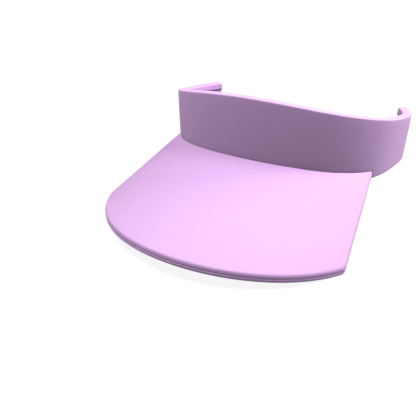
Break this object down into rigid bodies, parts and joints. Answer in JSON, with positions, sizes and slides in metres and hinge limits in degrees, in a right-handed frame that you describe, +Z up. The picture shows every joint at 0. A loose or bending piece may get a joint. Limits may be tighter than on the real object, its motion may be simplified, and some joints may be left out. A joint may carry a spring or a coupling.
{
  "type": "sun visor",
  "caption": "Open-back sun visor: a padded, fabric-covered springy band that clips round the head, with a gently arched, padded bill seamed into its lower front edge.",
  "frame": {"origin": "centre of the head opening, where the arms are widest apart, level with the lower edge of the arms", "axes": "+X to the wearer's left, +Y to the back of the head (the bill points along -Y), +Z up along the band's height"},
  "size_m": [0.1554, 0.1738, 0.0683],
  "materials": {
    "cover_fabric": "matt, close plain weave, lilac pink",
    "lining_fabric": "matt, smooth tricot, lilac pink",
    "towelling": "soft looped towelling, pale lilac pink",
    "foam": "fine open-cell foam sheet, off-white",
    "moulded_board": "satin moulded polyethylene, white",
    "spring_plastic": "smooth springy acetal, natural white",
    "end_rubber": "soft moulded block, matt",
    "rivet_metal": "plain drawn aluminium"
  },
  "bodies": {
    "root": {"bill_board": "moulded_board", "bill_top_foam": "foam", "bill_under_foam": "foam", "bill_top_cover": "cover_fabric", "bill_under_cover": "cover_fabric", "spring_strip": "spring_plastic", "board_rivets": "rivet_metal", "band_outer_foam": "foam", "band_inner_foam": "foam", "band_cover": "cover_fabric", "sweatband": "towelling", "arm_lining_left": "lining_fabric", "arm_lining_right": "lining_fabric", "end_block_left": "end_rubber", "end_block_right": "end_rubber"}
  },
  "joints": []
}
